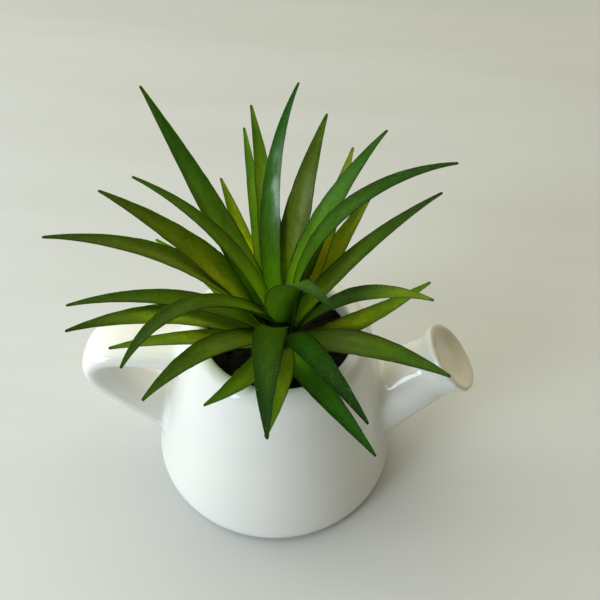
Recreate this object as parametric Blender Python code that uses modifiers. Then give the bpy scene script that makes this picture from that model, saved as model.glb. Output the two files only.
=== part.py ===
"""Potted succulent: a rosette of long pointed leaves in a small glazed watering-can planter.

Metres, +Z up. The origin is the middle of the planter's flat underside, +X runs towards the
spout and -X towards the strap handle.
"""

import math
from collections import namedtuple

import bmesh
import bpy
from mathutils import Matrix, Vector

MM = 0.001
CLEARANCE = 0.3 * MM

# Planter: a cone with a rounded foot, a rounded shoulder and a thick lip.
POT_HEIGHT = 62 * MM
FOOT_RADIUS = 41.6 * MM
FOOT_ROUNDING = 4.8 * MM
SHOULDER_RADIUS = 29.7 * MM
SHOULDER_ROUNDING = 4.6 * MM
MOUTH_RADIUS = 22.9 * MM
WALL = 4.6 * MM
FLOOR = 5 * MM
NECK_DEPTH = 7 * MM
NECK_SLOPE_RISE = 5 * MM
FLOOR_BEVEL = 3 * MM
EDGE_ARC_STEPS = 5
LIP_ARC_STEPS = 3
POT_STEPS = 56

# Spout: a tapering horn that rises from the wall at +X and ends in a rose with a dished face.
SPOUT_START = Vector((22 * MM, 0, 16.8 * MM))
SPOUT_RISE = math.radians(46.3)
SPOUT_ROOT_RADIUS = 15 * MM
SPOUT_NECK_RADIUS = 10 * MM
SPOUT_NECK_AT = 41 * MM
ROSE_RADIUS = 12.6 * MM
ROSE_AT = 49.9 * MM
ROSE_ROUNDING = 1.5 * MM
ROSE_DISH = 3 * MM
ROSE_DISH_SHARES = (0.4, 0.7, 0.9)
ROSE_ARC_STEPS = 6
FLARE_STEPS = 3
SPOUT_STEPS = 40

# Handle: an oval strap bent to an ear, drawn through points (x, z) on its middle line.
HANDLE_WIDTH = 19 * MM
HANDLE_THICKNESS = 7.8 * MM
HANDLE_FULLNESS = 2.3
HANDLE_LINE = [
    (-24, 49), (-38, 50), (-50.5, 50), (-56.5, 48), (-59.5, 43.5),
    (-57.5, 37), (-51.5, 30), (-42.5, 21), (-32.5, 11.5),
]
HANDLE_STEPS_PER_SPAN = 3
HANDLE_SECTION_STEPS = 20

# Soil: fills the planter up to a few millimetres under the lip and rises a little to the stem.
SOIL_EDGE_HEIGHT = 54.5 * MM
SOIL_EDGE_ROUNDING = 1 * MM
SOIL_CROWN = 1.2 * MM
SOIL_CROWN_SLOPE = 0.8 * MM
SOIL_CROWN_FADE = 0.6

# Stem: a short stump, widest at the soil, that narrows between the leaves.
STEM_TOP = 70 * MM
STEM_TOP_RADIUS = 2.7 * MM
STEM_TOP_ROUNDING = 1.5 * MM
STEM_FLARE = 0.28
STEM_FOOT = 42 * MM
STEM_FOOT_RADIUS = 5 * MM
STEM_WIDEST_AT = 56.5 * MM
STEM_STEPS = 24

# Leaves: a shallow channel section, half width 1 and depth 1, carried along a bent spine.
LEAF_SECTION = [
    (-1, 1), (-0.52, 0.4), (0, 0.12), (0.52, 0.4), (1, 1), (0.6, -0.3), (0, -0.85), (-0.6, -0.3),
]
LEAF_STATIONS = 13
LEAF_SPINE_PARTS = 8
LEAF_BASE_WIDTH = 3 * MM
LEAF_WIDEST_AT = 0.34
LEAF_TAPER = 1.55
LEAF_TIP_WIDTH = 0.8 * MM
LEAF_BASE_DEPTH = 0.62 * MM
LEAF_DEPTH = 1.15 * MM
LEAF_TIP_DEPTH = 0.35 * MM
LEAF_THINNING = 1.5
LEAF_ROLLED_BY = 0.4

# One row a leaf. height (mm) is where it leaves the stem and turn the side it leaves on; it sets
# out rise degrees above level and comes down by droop over its length, early in it where bend is
# under 1 and late where it is over 1; sweep turns it sideways on the way and roll tips its face.
Leaf = namedtuple("Leaf", "height turn rise droop bend sweep length width roll colour")

OUTER_LEAVES = [
    Leaf(57.0, -146, 38, 4, 1.0, 6, 44, 7.5, 0, "pale"),
    Leaf(57.2, -107.5, 20.5, -2, 1.0, -19, 37.5, 7.3, 0, "mid"),
    Leaf(57.0, -65, 26, 29, 1.0, 12, 49.5, 7.8, 0, "mid"),
    Leaf(57.0, -19.5, 42, -14, 1.0, 4, 53, 7.3, 25, "pale"),
    Leaf(59.0, 40, 62.5, 7, 1.0, -8, 49.5, 9.2, 0, "olive"),
    Leaf(58.0, 123, 57, 9, 1.0, 4, 47, 7.3, 0, "pale"),
    Leaf(57.0, 174, 63, 20, 1.0, 10, 46.5, 7.8, 0, "pale"),
    Leaf(59.0, -135.5, 44, 14, 1.0, 4, 61.5, 7.7, 0, "pale"),
    Leaf(59.0, -81.5, 42, 45, 1.0, -21, 45.5, 7.3, 0, "pale"),
    Leaf(59.5, -45, 49, 31.5, 1.0, 1, 64, 12.2, 0, "mid"),
]
MIDDLE_LEAVES = [
    Leaf(60.4, -153.5, 50, 41.5, 1.0, 10, 64, 10.4, 0, "mid"),
    Leaf(62.0, -124, 43, 37.5, 1.6, 9, 61.5, 9.2, 0, "mid"),
    Leaf(62.5, -72, 62.5, 62, 0.7, 13, 59, 8.2, 0, "deep"),
    Leaf(61.5, -28, 67, 58, 1.5, -1, 56.5, 10.7, 0, "mid"),
    Leaf(63.5, 18, 60, 21.5, 1.0, -10, 60, 8.0, 0, "deep"),
    Leaf(62.0, 51, 58, -15, 1.0, -1, 56.5, 8.2, 0, "olive"),
    Leaf(63.7, 103.5, 69, 22, 1.0, 8, 62.5, 7.6, 0, "olive"),
    Leaf(60.0, 112.5, 64.5, 3, 1.0, 1, 59, 6.2, 0, "deep"),
    Leaf(63.0, 143, 61, 16, 1.0, 0, 61, 7.5, 0, "mid"),
    Leaf(62.2, -160.5, 53, 47.5, 1.0, 9, 62.5, 8.1, 0, "mid"),
    Leaf(64.0, -171.5, 66, 62, 1.0, 4, 72.5, 9.7, 0, "olive"),
]
INNER_LEAVES = [
    Leaf(65.8, -178, 62.5, 31, 1.0, -1, 63.5, 10.2, 0, "olive"),
    Leaf(68.2, -146.5, 51, 51.5, 1.4, 45, 68, 7.5, 0, "deep"),
    Leaf(65.0, -98, 74, 90, 0.6, 16, 54, 9.4, 0, "deep"),
    Leaf(69.0, -88, 68, 60, 2.1, 29, 63, 9.6, 0, "mid"),
    Leaf(67.5, 0.5, 90.5, 79, 1.3, 0, 75.5, 10.2, 0, "mid"),
    Leaf(67.0, 44, 80, 36, 1.0, -15.5, 62.5, 9.4, 0, "mid"),
    Leaf(65.4, 79, 76, 33, 1.0, -14, 60.5, 9.2, 0, "olive"),
    Leaf(69.0, 114.5, 70, 28, 1.0, -55, 66, 6.2, 0, "deep"),
    Leaf(67.5, 154.5, 61, 4, 1.0, 0, 74, 10.2, 0, "deep"),
    Leaf(69.0, 171, 74, 46, 1.0, 8, 58.5, 7.4, 0, "mid"),
]

LEAF_COLOURS = {
    "deep": (0.030, 0.110, 0.028),
    "mid": (0.050, 0.150, 0.022),
    "pale": (0.110, 0.230, 0.020),
    "olive": (0.095, 0.140, 0.015),
}
LEAF_ROUGHNESS = 0.42
GLAZE_COLOUR = (0.86, 0.85, 0.83)
GLAZE_ROUGHNESS = 0.12
SOIL_COLOUR = (0.020, 0.014, 0.010)
SOIL_ROUGHNESS = 0.95
STEM_COLOUR = (0.060, 0.120, 0.020)
STEM_ROUGHNESS = 0.6


def clear_scene():
    """Take every object out of the scene."""
    for obj in list(bpy.data.objects):
        bpy.data.objects.remove(obj, do_unlink=True)


def new_collection(name):
    """A collection under the scene's own."""
    collection = bpy.data.collections.new(name)
    bpy.context.scene.collection.children.link(collection)
    return collection


def new_material(name, colour, roughness):
    """A plain material of one colour."""
    material = bpy.data.materials.new(name)
    material.use_nodes = True
    shader = material.node_tree.nodes["Principled BSDF"]
    shader.inputs["Base Color"].default_value = (*colour, 1)
    shader.inputs["Roughness"].default_value = roughness
    shader.inputs["Metallic"].default_value = 0
    return material


def add_object(name, bm, collection, material=None):
    """Put a finished mesh into a collection as an object."""
    mesh = bpy.data.meshes.new(name)
    bm.to_mesh(mesh)
    bm.free()
    if material:
        mesh.materials.append(material)
    obj = bpy.data.objects.new(name, mesh)
    collection.objects.link(obj)
    return obj


def make_helper(obj):
    """Mark an object as one that only cuts or joins others."""
    obj.hide_render = True
    obj.display_type = "WIRE"


def arc(centre, radius, start, end, steps):
    """Points (r, z) along an arc, with angles in degrees from the outward direction."""
    points = []
    for step in range(steps + 1):
        angle = math.radians(start + (end - start) * step / steps)
        points.append((centre[0] + radius * math.cos(angle), centre[1] + radius * math.sin(angle)))
    return points


def turned(name, profile, steps, collection, material=None):
    """Turn a profile of (r, z) points, which runs down its outer side, about +Z."""
    bm = bmesh.new()
    verts = [bm.verts.new((r, 0, z)) for r, z in profile]
    for upper, lower in zip(verts, verts[1:]):
        bm.edges.new((upper, lower))
    obj = add_object(name, bm, collection, material)
    screw = obj.modifiers.new("Turn", "SCREW")
    screw.axis = "Z"
    screw.steps = steps
    screw.render_steps = steps
    screw.use_merge_vertices = True
    screw.merge_threshold = 0.00001
    screw.use_smooth_shade = True
    return obj


def swept(name, outline, frames, collection, material=None):
    """Skin a closed solid along a run of frames, each of which places the flat outline."""
    bm = bmesh.new()
    ring = bmesh.ops.create_circle(bm, segments=len(outline), radius=1)["verts"]
    for vert, (across, up) in zip(ring, outline):
        vert.co = (across, up, 0)
    edges = bm.edges[:]
    bmesh.ops.contextual_create(bm, geom=edges)
    bmesh.ops.transform(bm, matrix=frames[0], verts=ring)
    for before, after in zip(frames, frames[1:]):
        grown = bmesh.ops.extrude_edge_only(bm, edges=edges)["geom"]
        ring = [item for item in grown if isinstance(item, bmesh.types.BMVert)]
        edges = [
            item for item in grown
            if isinstance(item, bmesh.types.BMEdge) and all(vert in ring for vert in item.verts)
        ]
        bmesh.ops.transform(bm, matrix=after @ before.inverted(), verts=ring)
    bmesh.ops.contextual_create(bm, geom=edges)
    bmesh.ops.recalc_face_normals(bm, faces=bm.faces[:])
    obj = add_object(name, bm, collection, material)
    obj.data.shade_smooth()
    return obj


def frame_at(place, along, across, half_width, depth):
    """A frame whose X is across, Y up through the section and Z along the sweep."""
    up = along.cross(across)
    turn = Matrix((across * half_width, up * depth, along)).transposed().to_4x4()
    return Matrix.Translation(place) @ turn


def wall_radius(height):
    """Outer radius of the planter's straight wall at a height."""
    climb = (height - FOOT_ROUNDING) / (POT_HEIGHT - SHOULDER_ROUNDING - FOOT_ROUNDING)
    return FOOT_RADIUS + (SHOULDER_RADIUS - FOOT_RADIUS) * climb


def cavity_line(inset):
    """Points (r, z) up the inside of the planter, from its floor to its neck, inset towards the wall."""
    bevel_top = FLOOR + FLOOR_BEVEL
    neck_foot = POT_HEIGHT - NECK_DEPTH
    slope_foot = neck_foot - NECK_SLOPE_RISE
    return [
        (wall_radius(FLOOR) - WALL - FLOOR_BEVEL + inset, FLOOR - inset),
        (wall_radius(bevel_top) - WALL + inset, bevel_top - inset),
        (wall_radius(slope_foot) - WALL + inset, slope_foot),
        (MOUTH_RADIUS + inset, neck_foot + inset),
    ]


def build_pot(collection, helpers, material):
    """The glazed planter: cone, strap handle and spout, cast as one piece."""
    straight_rise = POT_HEIGHT - FOOT_ROUNDING - SHOULDER_ROUNDING
    lean = math.degrees(math.atan2(FOOT_RADIUS - SHOULDER_RADIUS, straight_rise))
    lip_rounding = SHOULDER_RADIUS - SHOULDER_ROUNDING - MOUTH_RADIUS
    shoulder_centre = (SHOULDER_RADIUS - SHOULDER_ROUNDING, POT_HEIGHT - SHOULDER_ROUNDING)
    lip_centre = (MOUTH_RADIUS + lip_rounding, POT_HEIGHT - lip_rounding)
    foot_centre = (FOOT_RADIUS - FOOT_ROUNDING, FOOT_ROUNDING)
    profile = [(0, FLOOR)] + cavity_line(0)
    profile += arc(lip_centre, lip_rounding, 180, 90, LIP_ARC_STEPS)[:-1]
    profile += arc(shoulder_centre, SHOULDER_ROUNDING, 90, lean, EDGE_ARC_STEPS)
    profile += arc(foot_centre, FOOT_ROUNDING, lean, -90, EDGE_ARC_STEPS)
    profile += [(0, 0)]
    pot = turned("pot", profile, POT_STEPS, collection, material)

    core = turned("core", core_profile(), POT_STEPS, helpers)
    make_helper(core)
    for part in (build_spout(helpers), build_handle(helpers)):
        trim = part.modifiers.new("Trim to wall", "BOOLEAN")
        trim.operation = "DIFFERENCE"
        trim.object = core
        make_helper(part)
        join = pot.modifiers.new("Join " + part.name, "BOOLEAN")
        join.operation = "UNION"
        join.object = part
    return pot


def core_profile():
    """The inside of the planter with half the wall added, which the spout and handle stop at."""
    line = cavity_line(WALL / 2)
    return [(0, POT_HEIGHT), (line[-1][0], POT_HEIGHT)] + line[::-1] + [(0, line[0][1])]


def build_spout(helpers):
    """The spout's solid, turned upright and then leaned out from the planter's middle line."""
    rim_centre = (ROSE_RADIUS - ROSE_ROUNDING, ROSE_AT - ROSE_ROUNDING)
    flare_length = rim_centre[1] - SPOUT_NECK_AT
    dish_radius = rim_centre[0] - ROSE_ROUNDING
    dish_bottom = ROSE_AT - ROSE_DISH
    profile = [(0, dish_bottom)]
    for share in ROSE_DISH_SHARES:
        profile.append((dish_radius * share, dish_bottom + (rim_centre[1] - dish_bottom) * share ** 4))
    profile += arc(rim_centre, ROSE_ROUNDING, 180, -20, ROSE_ARC_STEPS)
    for step in reversed(range(FLARE_STEPS)):
        part = step / FLARE_STEPS
        widening = (ROSE_RADIUS - SPOUT_NECK_RADIUS) * part * part
        profile.append((SPOUT_NECK_RADIUS + widening, SPOUT_NECK_AT + flare_length * part))
    profile += [(SPOUT_ROOT_RADIUS, 0), (0, 0)]
    spout = turned("spout", profile, SPOUT_STEPS, helpers)
    spout.location = SPOUT_START
    spout.rotation_euler = (0, math.pi / 2 - SPOUT_RISE, 0)
    return spout


def smooth_line(points, steps):
    """Points on a smooth curve through the given ones, with steps to each span."""
    ends = [2 * points[0] - points[1]] + points + [2 * points[-1] - points[-2]]
    line = []
    for before, start, end, after in zip(ends, ends[1:], ends[2:], ends[3:]):
        slope = end - before
        curve = 2 * before - 5 * start + 4 * end - after
        twist = 3 * start - before - 3 * end + after
        for step in range(steps):
            t = step / steps
            line.append(start + 0.5 * (slope * t + curve * t ** 2 + twist * t ** 3))
    return line + [points[-1]]


def oval(half_width, half_height, fullness, steps):
    """Points (x, y) round an oval, an ellipse where fullness is 2 and squarer above that."""
    outline = []
    for step in range(steps):
        angle = 2 * math.pi * step / steps
        x, y = math.cos(angle), math.sin(angle)
        wide = math.copysign(abs(x) ** (2 / fullness), x)
        high = math.copysign(abs(y) ** (2 / fullness), y)
        outline.append((wide * half_width, high * half_height))
    return outline


def build_handle(helpers):
    """The strap handle's solid, with both ends inside the planter's wall."""
    line = smooth_line([Vector((x * MM, 0, z * MM)) for x, z in HANDLE_LINE], HANDLE_STEPS_PER_SPAN)
    frames = []
    for number, place in enumerate(line):
        along = (line[min(number + 1, len(line) - 1)] - line[max(number - 1, 0)]).normalized()
        frames.append(frame_at(place, along, Vector((0, 1, 0)), 1, 1))
    outline = oval(HANDLE_WIDTH / 2, HANDLE_THICKNESS / 2, HANDLE_FULLNESS, HANDLE_SECTION_STEPS)
    return swept("handle", outline, frames, helpers)


def stem_radius(height):
    """Radius of the stem between its widest place and its top."""
    return STEM_TOP_RADIUS + (STEM_TOP - height) * STEM_FLARE


def build_soil(collection, material):
    """The potting mix, a plug of the planter's inner shape with a socket for the stem."""
    socket = stem_radius(STEM_WIDEST_AT) + CLEARANCE
    line = cavity_line(-CLEARANCE)
    profile = [
        (0, STEM_FOOT - CLEARANCE),
        (STEM_FOOT_RADIUS + CLEARANCE, STEM_FOOT - CLEARANCE),
        (socket, SOIL_EDGE_HEIGHT),
        (socket + SOIL_CROWN_SLOPE, SOIL_EDGE_HEIGHT + SOIL_CROWN),
        (SOIL_CROWN_FADE * MOUTH_RADIUS, SOIL_EDGE_HEIGHT + SOIL_CROWN_FADE * SOIL_CROWN),
        (MOUTH_RADIUS - CLEARANCE - SOIL_EDGE_ROUNDING, SOIL_EDGE_HEIGHT),
        (MOUTH_RADIUS - CLEARANCE, SOIL_EDGE_HEIGHT - SOIL_EDGE_ROUNDING),
    ]
    profile += line[::-1] + [(0, FLOOR + CLEARANCE)]
    return turned("soil", profile, POT_STEPS, collection, material)


def build_stem(collection, material):
    """The stump that the leaves leave from, down to its foot in the soil."""
    rounding_foot = STEM_TOP - STEM_TOP_ROUNDING
    profile = [
        (0, STEM_TOP),
        (stem_radius(STEM_TOP) - STEM_TOP_ROUNDING / 2, STEM_TOP - STEM_TOP_ROUNDING / 5),
        (stem_radius(rounding_foot), rounding_foot),
        (stem_radius(STEM_WIDEST_AT), STEM_WIDEST_AT),
        (stem_radius(STEM_WIDEST_AT), SOIL_EDGE_HEIGHT),
        (STEM_FOOT_RADIUS, STEM_FOOT),
        (0, STEM_FOOT),
    ]
    return turned("stem", profile, STEM_STEPS, collection, material)


def smoothstep(t):
    """Ease from 0 to 1 while t goes from 0 to 1."""
    t = min(max(t, 0), 1)
    return t * t * (3 - 2 * t)


def leaf_half_width(leaf, t):
    """Half the width at a fraction t of the length: a narrow base, a swelling and a long taper."""
    swelling = LEAF_BASE_WIDTH + (leaf.width * MM - LEAF_BASE_WIDTH) * smoothstep(t / LEAF_WIDEST_AT)
    past = max(t - LEAF_WIDEST_AT, 0) / (1 - LEAF_WIDEST_AT)
    return (swelling * (1 - past ** LEAF_TAPER) + LEAF_TIP_WIDTH * past) / 2


def leaf_depth(t):
    """The leaf's depth at a fraction t of its length: thickest where it is widest."""
    swelling = LEAF_BASE_DEPTH + (LEAF_DEPTH - LEAF_BASE_DEPTH) * smoothstep(t / LEAF_WIDEST_AT)
    return swelling + (LEAF_TIP_DEPTH - LEAF_DEPTH) * t ** LEAF_THINNING


def heading_vector(turn, climb):
    """Unit vector on the side turn of +Z and climb above level, both in degrees."""
    turn = math.radians(turn)
    climb = math.radians(climb)
    return Vector((math.cos(climb) * math.cos(turn), math.cos(climb) * math.sin(turn), math.sin(climb)))


def leaf_direction(leaf, t):
    """Unit vector along the leaf's spine at a fraction t of its length."""
    return heading_vector(leaf.turn + leaf.sweep * t, leaf.rise - leaf.droop * t ** leaf.bend)


def leaf_frames(leaf):
    """Section frames along the leaf's spine, from its seat on the stem to its tip."""
    height = leaf.height * MM
    lean_back = LEAF_BASE_DEPTH * math.sin(math.radians(leaf.rise))
    seat = stem_radius(height) + CLEARANCE + lean_back
    place = heading_vector(leaf.turn, 0) * seat + Vector((0, 0, height))
    parts = LEAF_STATIONS * LEAF_SPINE_PARTS
    frames = []
    for part in range(parts + 1):
        t = part / parts
        along = leaf_direction(leaf, t)
        if part:
            before = leaf_direction(leaf, (part - 1) / parts)
            place = place + (before + along) * (leaf.length * MM / parts / 2)
        if part % LEAF_SPINE_PARTS == 0:
            level = heading_vector(leaf.turn + leaf.sweep * t + 90, 0)
            roll = math.radians(leaf.roll) * min(1, t / LEAF_ROLLED_BY)
            across = Matrix.Rotation(roll, 3, along) @ level
            frames.append(frame_at(place, along, across, leaf_half_width(leaf, t), leaf_depth(t)))
    return frames


def build_leaves(collection):
    """The rosette, numbered from the lowest ring up."""
    materials = {}
    for name, colour in LEAF_COLOURS.items():
        materials[name] = new_material("leaf_" + name, colour, LEAF_ROUGHNESS)
    leaves = OUTER_LEAVES + MIDDLE_LEAVES + INNER_LEAVES
    for number, leaf in enumerate(leaves, start=1):
        swept(f"leaf_{number:02d}", LEAF_SECTION, leaf_frames(leaf), collection, materials[leaf.colour])


def main():
    """Build the planter, the soil, the stem and the leaves."""
    clear_scene()
    collection = new_collection("potted_succulent")
    helpers = new_collection("helpers")
    build_pot(collection, helpers, new_material("white_glaze", GLAZE_COLOUR, GLAZE_ROUGHNESS))
    build_soil(collection, new_material("soil", SOIL_COLOUR, SOIL_ROUGHNESS))
    build_stem(collection, new_material("stem", STEM_COLOUR, STEM_ROUGHNESS))
    build_leaves(collection)


main()
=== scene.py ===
"""Potted succulent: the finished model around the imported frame.

A rosette of moulded leaves stands in potting mix in a small glazed watering-can planter. Each
sub-assembly is a class that holds its own sizes, builds its pieces and dresses them. Metres, +Z up,
the spout on +X and the handle on -X.
"""

import logging
import math
import random
from collections.abc import Callable, Sequence
from dataclasses import dataclass, field
from enum import Enum

import bmesh
import bpy
from mathutils import Matrix, Vector, kdtree, noise


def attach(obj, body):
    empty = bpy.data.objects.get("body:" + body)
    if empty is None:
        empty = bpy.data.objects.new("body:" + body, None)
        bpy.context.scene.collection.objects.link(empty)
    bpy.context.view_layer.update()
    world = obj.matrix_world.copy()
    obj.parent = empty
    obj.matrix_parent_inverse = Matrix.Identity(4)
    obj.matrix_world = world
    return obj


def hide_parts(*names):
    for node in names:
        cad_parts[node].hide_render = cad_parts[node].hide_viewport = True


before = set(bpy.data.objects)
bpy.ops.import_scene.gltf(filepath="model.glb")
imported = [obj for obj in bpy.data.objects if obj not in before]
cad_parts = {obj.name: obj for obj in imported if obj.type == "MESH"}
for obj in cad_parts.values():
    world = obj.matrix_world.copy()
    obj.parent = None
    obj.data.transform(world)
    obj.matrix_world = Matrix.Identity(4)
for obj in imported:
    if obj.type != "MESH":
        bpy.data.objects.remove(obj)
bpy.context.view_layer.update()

LOG = logging.getLogger("potted_succulent")
MM = 0.001
MERGE_REACH = 0.002 * MM
BODY = "root"

Triple = tuple[float, float, float]
Colour = Triple
Span = tuple[float, float]
Point = tuple[float, float]
Material = bpy.types.Material
Node = bpy.types.Node
Object = bpy.types.Object
Skin = bmesh.types.BMesh
Socket = bpy.types.NodeSocket
Input = Socket | float | Sequence[float]


# ---------------------------------------------------------------- shader node shorthand


class NodeBench:
    """Places and joins the nodes of one tree."""

    def __init__(self, tree: bpy.types.NodeTree) -> None:
        """Work on a material's, a world's or a group's tree."""
        self.tree = tree

    def feed(self, node: Node, values: dict[str | int, Input]) -> None:
        """Join a socket to each input, or set the input's own value.

        Args:
            node: The node whose inputs they are.
            values: An output socket, number, vector or colour for each input, by name or number.
        """
        for key, value in values.items():
            target = node.inputs[key]
            if isinstance(value, Socket):
                self.tree.links.new(value, target)
            elif target.type == "RGBA" and len(value) == 3:
                target.default_value = (*value, 1.0)
            else:
                target.default_value = value

    def add(self, kind: str, values: dict[str | int, Input], **settings: object) -> Node:
        """Place a node.

        Args:
            kind: The node type's identifier.
            values: What its inputs are fed with, by name or number.
            **settings: Properties that are set on the node first.

        Returns:
            The new node.
        """
        node = self.tree.nodes.new(kind)
        for name, value in settings.items():
            setattr(node, name, value)
        self.feed(node, values)
        return node

    def group(self, tree: bpy.types.NodeTree, values: dict[str, Input]) -> bpy.types.NodeOutputs:
        """Place a shared group with its own values, and give its outputs."""
        return self.add("ShaderNodeGroup", values, node_tree=tree).outputs

    def math(self, operation: str, first: Input, second: Input, clamp: bool = False) -> Socket:
        """One math step on two values, whose result clamp holds from 0 to 1."""
        step = self.add("ShaderNodeMath", {0: first, 1: second}, operation=operation, use_clamp=clamp)
        return step.outputs[0]

    def times(self, first: Input, second: Input, clamp: bool = False) -> Socket:
        """Multiply two values."""
        return self.math("MULTIPLY", first, second, clamp)

    def plus(self, first: Input, second: Input) -> Socket:
        """Add two values."""
        return self.math("ADD", first, second)

    def swing(self, pattern: Socket, size: float) -> Socket:
        """Turn a pattern from 0 to 1 into a swing about 0."""
        return self.times(self.math("SUBTRACT", pattern, 0.5), size)

    def ease(self, value: Input, low: float, high: float, start: float = 0.0, end: float = 1.0) -> Socket:
        """Ease smoothly from start to end while a value goes from low to high."""
        levels = {"Value": value, "From Min": low, "From Max": high, "To Min": start, "To Max": end}
        return self.add("ShaderNodeMapRange", levels, interpolation_type="SMOOTHSTEP").outputs["Result"]

    def mix(self, share: Input, first: Input, second: Input, blend: str = "MIX") -> Socket:
        """Mix two colours by the share of the second one."""
        colours = {0: share, 6: first, 7: second}
        return self.add("ShaderNodeMix", colours, data_type="RGBA", blend_type=blend).outputs[2]

    def stretched(self, vector: Socket, scale: Sequence[float]) -> Socket:
        """Scale a vector along its axes."""
        return self.add("ShaderNodeMapping", {"Vector": vector, "Scale": scale}).outputs["Vector"]

    def noise(self, vector: Socket, scale: Input, detail: float = 2.0, roughness: float = 0.5) -> Socket:
        """Soft random pattern from 0 to 1, with detail finer layers of some roughness."""
        values = {"Vector": vector, "Scale": scale, "Detail": detail, "Roughness": roughness}
        return self.add("ShaderNodeTexNoise", values).outputs[0]

    def attribute(self, name: str, output: str = "Fac") -> Socket:
        """Read one of the piece's own attributes."""
        return self.add("ShaderNodeAttribute", {}, attribute_name=name).outputs[output]

    def split(self, vector: Socket) -> tuple[Socket, Socket, Socket]:
        """Take a vector apart into its X, Y and Z."""
        return tuple(self.add("ShaderNodeSeparateXYZ", {0: vector}).outputs)

    def place_coordinates(self) -> Socket:
        """The Object coordinates, in metres."""
        return self.add("ShaderNodeTexCoord", {}).outputs["Object"]

    def raise_surface(self, shader: Node, height: Socket, strength: float, depth: float) -> None:
        """Raise and dent a shader's surface by a pattern of heights, over a depth in metres."""
        bump = self.add("ShaderNodeBump", {"Height": height, "Strength": strength, "Distance": depth})
        self.feed(shader, {"Normal": bump.outputs["Normal"]})


class SocketKind(Enum):
    """What a socket of a group carries."""

    FLOAT = "NodeSocketFloat"
    VECTOR = "NodeSocketVector"
    COLOUR = "NodeSocketColor"


def new_group(
    name: str, inputs: dict[str, SocketKind], outputs: dict[str, SocketKind]
) -> tuple[NodeBench, bpy.types.NodeOutputs, Node]:
    """Start a shader node group.

    Args:
        name: The group's name.
        inputs: What each input carries, by name.
        outputs: What each output carries, by name.

    Returns:
        The group's bench, the sockets that bring its inputs, and the node that takes its outputs.
    """
    tree = bpy.data.node_groups.new(name, "ShaderNodeTree")
    for in_out, sockets in (("INPUT", inputs), ("OUTPUT", outputs)):
        for label, kind in sockets.items():
            tree.interface.new_socket(name=label, in_out=in_out, socket_type=kind.value)
    return NodeBench(tree), tree.nodes.new("NodeGroupInput").outputs, tree.nodes.new("NodeGroupOutput")


def new_material(name: str) -> tuple[Material, NodeBench, Node]:
    """Start a material.

    Args:
        name: The material's name.

    Returns:
        The material, its bench and its Principled BSDF.
    """
    material = bpy.data.materials.new(name)
    material.use_nodes = True
    return material, NodeBench(material.node_tree), material.node_tree.nodes["Principled BSDF"]


# ---------------------------------------------------------------- shared effects


def build_mottle() -> bpy.types.NodeTree:
    """Build broad clouds and fine grain on one set of coordinates.

    Returns:
        The group's tree, with outputs Broad, Fine and Speck from 0 to 1.
    """
    inputs = {"Vector": SocketKind.VECTOR, "Broad scale": SocketKind.FLOAT, "Fine scale": SocketKind.FLOAT}
    outputs = dict.fromkeys(("Broad", "Fine", "Speck"), SocketKind.FLOAT)
    bench, taken, result = new_group("mottle", inputs, outputs)
    broad = bench.noise(taken["Vector"], taken["Broad scale"], 3.0)
    fine = bench.noise(taken["Vector"], taken["Fine scale"], 2.0)
    bench.feed(result, {"Broad": broad, "Fine": fine, "Speck": bench.ease(fine, 0.66, 0.74)})
    return bench.tree


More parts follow.
